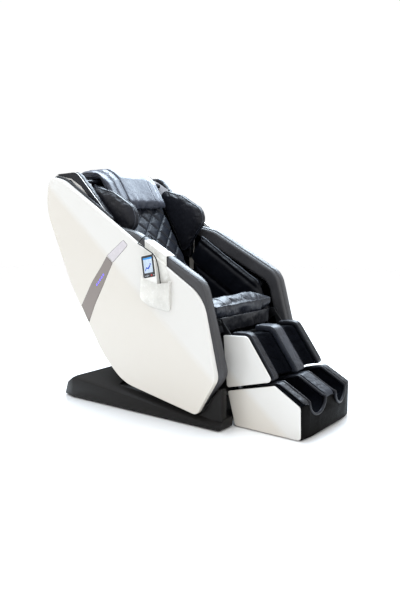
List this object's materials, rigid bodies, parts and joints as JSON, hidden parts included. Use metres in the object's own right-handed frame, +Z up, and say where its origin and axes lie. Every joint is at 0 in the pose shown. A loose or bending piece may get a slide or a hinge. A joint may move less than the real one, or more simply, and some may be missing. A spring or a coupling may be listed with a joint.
{
  "type": "massage chair",
  "caption": "Reclining massage armchair with ivory side shells, padded seat, calf and foot channels, head pillow, remote control in a holder and a low floor base.",
  "frame": {"origin": "middle of the assembly's bounding box on the floor, measured without the remote's cord", "axes": "+Z up from the floor, -Y the way the sitter faces and +Y towards the back, +X to the sitter's left"},
  "size_m": [0.7885, 1.4677, 1.19],
  "materials": {
    "shell_ivory": "gloss",
    "strip_taupe": "satin",
    "insert_silver": "satin",
    "light_violet": "gloss",
    "leather_brown": "satin",
    "leather_black": "satin",
    "leather_grey": "satin",
    "leather_charcoal": "satin",
    "fabric_dark": "matte",
    "base_plastic": "satin",
    "dark_plastic": "satin",
    "trim_plastic": "satin",
    "frame_paint": "satin",
    "actuator_paint": "satin",
    "rod_steel": "satin",
    "rubber_black": "matte",
    "roller_plastic": "satin",
    "switch_red": "gloss",
    "remote_white": "gloss",
    "remote_glass": "gloss",
    "button_red": "gloss",
    "button_grey": "satin"
  },
  "bodies": {
    "base": {"base_frame": "frame_paint", "base_cover": "base_plastic", "base_feet": "rubber_black", "control_box": "frame_paint", "power_inlet": "dark_plastic"},
    "rocker": {"power_switch": "switch_red"},
    "wheels": {"transport_wheels": "dark_plastic"},
    "tilt_tube": {"tilt_actuator_tube": "actuator_paint"},
    "tilt_rod": {"tilt_actuator_rod": "rod_steel"},
    "chair_body": {"seat_frame": "frame_paint", "arm_frames": "frame_paint", "air_pump": "dark_plastic", "side_shell_left": "shell_ivory", "side_shell_right": "shell_ivory", "shell_strip_left": "strip_taupe", "shell_strip_right": "strip_taupe", "strip_inserts": "insert_silver", "strip_lights": "light_violet", "arm_pad_left": "leather_brown", "arm_pad_right": "leather_brown", "arm_cushion_left": "leather_black", "arm_cushion_right": "leather_black", "rim_trim_left": "trim_plastic", "rim_trim_right": "trim_plastic", "seat_cushion": "leather_grey", "leg_flap": "leather_charcoal", "lower_rear_cover": "base_plastic", "remote_holder": "remote_white", "cord_grommet": "rubber_black", "remote_cord": "rubber_black"},
    "recline_tube": {"recline_actuator_tube": "actuator_paint"},
    "recline_rod": {"recline_actuator_rod": "rod_steel"},
    "leg_tube": {"leg_actuator_tube": "actuator_paint"},
    "leg_rod": {"leg_actuator_rod": "rod_steel"},
    "backrest": {"back_frame": "frame_paint", "back_cushion": "leather_grey", "rear_cover": "shell_ivory", "head_surround": "dark_plastic", "shoulder_wing_left": "leather_charcoal", "shoulder_wing_right": "leather_charcoal"},
    "pillow": {"head_pillow": "leather_grey"},
    "carriage": {"massage_carriage": "frame_paint"},
    "kneading": {"kneading_shaft": "roller_plastic"},
    "leg_rest": {"calf_frame": "frame_paint", "calf_pad": "fabric_dark", "calf_bolsters": "leather_charcoal", "calf_panel_left": "shell_ivory", "calf_panel_right": "shell_ivory"},
    "foot_unit": {"foot_casing": "base_plastic", "foot_pad": "fabric_dark", "foot_bolsters": "leather_charcoal", "foot_panel_left": "shell_ivory", "foot_panel_right": "shell_ivory", "foot_slide_rods": "rod_steel"},
    "sole_rollers": {"foot_rollers": "roller_plastic"},
    "remote": {"remote_body": "remote_white", "remote_screen": "remote_glass"},
    "power_button": {"button_power": "button_red"},
    "mode_button": {"button_mode": "button_grey"}
  },
  "joints": [
    {"name": "switch_rock", "type": "hinge", "parent": "base", "child": "rocker", "pos_m": [0.118, 0.624, 0.041], "axis": [1, 0, 0], "range_deg": [-16, 0]},
    {"name": "wheel_roll", "type": "hinge", "parent": "base", "child": "wheels", "pos_m": [0, 0.59, 0.031], "axis": [1, 0, 0], "continuous": true},
    {"name": "body_tilt", "type": "hinge", "parent": "base", "child": "chair_body", "pos_m": [0, 0.02, 0.15], "axis": [-1, 0, 0], "range_deg": [0, 12]},
    {"name": "tilt_tube_swing", "type": "hinge", "parent": "base", "child": "tilt_tube", "pos_m": [0, -0.24, 0.068], "axis": [-1, 0, 0], "range_deg": [0, 6]},
    {"name": "tilt_rod_stroke", "type": "slide", "parent": "tilt_tube", "child": "tilt_rod", "axis": [0, 0.1776, 0.9841], "range_m": [0, 0.055]},
    {"name": "back_recline", "type": "hinge", "parent": "chair_body", "child": "backrest", "pos_m": [0, 0.165, 0.4], "axis": [-1, 0, 0], "range_deg": [0, 25]},
    {"name": "recline_tube_swing", "type": "hinge", "parent": "chair_body", "child": "recline_tube", "pos_m": [0, -0.11, 0.3], "axis": [-1, 0, 0], "range_deg": [0, 5]},
    {"name": "recline_rod_stroke", "type": "slide", "parent": "recline_tube", "child": "recline_rod", "axis": [0, 0.9997, -0.0239], "range_m": [-0.055, 0]},
    {"name": "leg_lift", "type": "hinge", "parent": "chair_body", "child": "leg_rest", "pos_m": [0, -0.285, 0.468], "axis": [-1, 0, 0], "range_deg": [0, 60]},
    {"name": "leg_tube_swing", "type": "hinge", "parent": "chair_body", "child": "leg_tube", "pos_m": [0.06, -0.01, 0.322], "axis": [-1, 0, 0], "range_deg": [0, 10]},
    {"name": "leg_rod_stroke", "type": "slide", "parent": "leg_tube", "child": "leg_rod", "axis": [0, -0.9947, 0.1029], "range_m": [0, 0.11]},
    {"name": "foot_extend", "type": "slide", "parent": "leg_rest", "child": "foot_unit", "axis": [0, -0.2487, -0.9686], "range_m": [0, 0.14]},
    {"name": "sole_roller_spin", "type": "hinge", "parent": "foot_unit", "child": "sole_rollers", "pos_m": [0, -0.56, 0.055], "axis": [1, 0, 0], "continuous": true},
    {"name": "pillow_flip", "type": "hinge", "parent": "backrest", "child": "pillow", "pos_m": [0, 0.735, 1.155], "axis": [-1, 0, 0], "range_deg": [0, 90]},
    {"name": "massage_travel", "type": "slide", "parent": "backrest", "child": "carriage", "axis": [0, 0.5, 0.866], "range_m": [-0.24, 0.26]},
    {"name": "kneading_spin", "type": "hinge", "parent": "carriage", "child": "kneading", "pos_m": [0, 0.404, 0.7206], "axis": [1, 0, 0], "continuous": true},
    {"name": "remote_lift", "type": "slide", "parent": "chair_body", "child": "remote", "axis": [0.0688, 0.2103, 0.9752], "range_m": [0, 0.09]},
    {"name": "power_press", "type": "slide", "parent": "remote", "child": "power_button", "axis": [0.994, 0.0694, -0.085], "range_m": [0, 0.0012], "stiffness_N_per_m": 400},
    {"name": "mode_press", "type": "slide", "parent": "remote", "child": "mode_button", "axis": [0.994, 0.0694, -0.085], "range_m": [0, 0.0012], "stiffness_N_per_m": 400}
  ],
  "couplings": [
    {"joint": "tilt_tube_swing", "follows": "body_tilt", "ratio": 0.38545},
    {"joint": "tilt_rod_stroke", "follows": "body_tilt", "m_per_rad": 0.23605},
    {"joint": "recline_tube_swing", "follows": "back_recline", "ratio": 0.13257},
    {"joint": "recline_rod_stroke", "follows": "back_recline", "m_per_rad": -0.11553},
    {"joint": "leg_tube_swing", "follows": "leg_lift", "ratio": 0.14778},
    {"joint": "leg_rod_stroke", "follows": "leg_lift", "m_per_rad": 0.09979}
  ]
}
